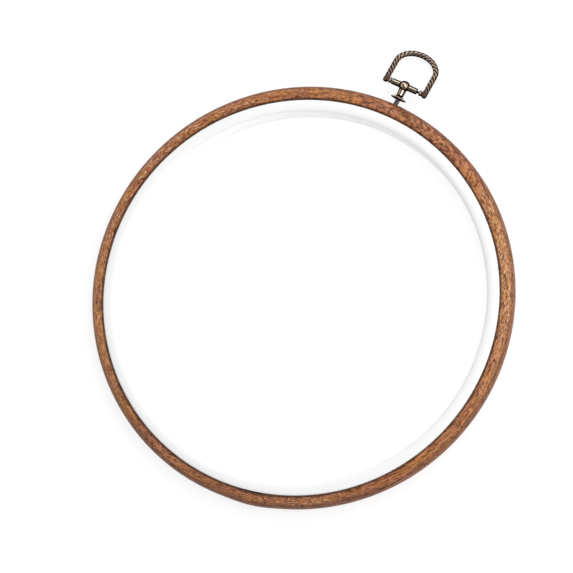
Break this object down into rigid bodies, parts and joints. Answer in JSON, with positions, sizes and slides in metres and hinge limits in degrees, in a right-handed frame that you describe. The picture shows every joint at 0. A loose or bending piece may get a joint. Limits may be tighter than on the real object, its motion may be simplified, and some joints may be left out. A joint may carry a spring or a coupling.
{
  "type": "embroidery hoop",
  "caption": "Flexible embroidery hoop: a soft wood-grained outer ring over a rigid white inner ring, with a screw-in antique brass hanger and a swinging twisted-wire loop.",
  "frame": {"origin": "under the middle of the whole object's box, on the surface that the hoop lies on", "axes": "+Z out of the front of the hoop, +Y along the hanger's stem away from the ring"},
  "size_m": [0.18, 0.2056, 0.0096],
  "materials": {
    "white_plastic": "moulded, smooth, soft gloss",
    "grained_vinyl": "embossed wood grain, satin",
    "antique_brass": "cast, antiqued, rubbed bright on its crowns",
    "stem_steel": "rolled thread, dull",
    "antique_brass_loop": "cast twisted wire, antiqued, dark in the valleys"
  },
  "bodies": {
    "inner_ring": {"inner_ring": "white_plastic"},
    "outer_ring": {"outer_ring": "grained_vinyl"},
    "hanger": {"hanger_head": "antique_brass", "hanger_stem": "stem_steel"},
    "hanger_loop": {"hanger_loop": "antique_brass_loop"}
  },
  "joints": [
    {"name": "outer_ring_lift", "type": "slide", "parent": "inner_ring", "child": "outer_ring", "axis": [0, 0, 1], "range_m": [0, 0.014]},
    {"name": "hanger_turn", "type": "hinge", "parent": "outer_ring", "child": "hanger", "pos_m": [0, 0.08593, 0.0051], "axis": [0, 1, 0], "range_deg": [-90, 90]},
    {"name": "loop_swing", "type": "hinge", "parent": "hanger", "child": "hanger_loop", "pos_m": [0, 0.08593, 0.0051], "axis": [1, 0, 0], "range_deg": [-106, 134]}
  ]
}
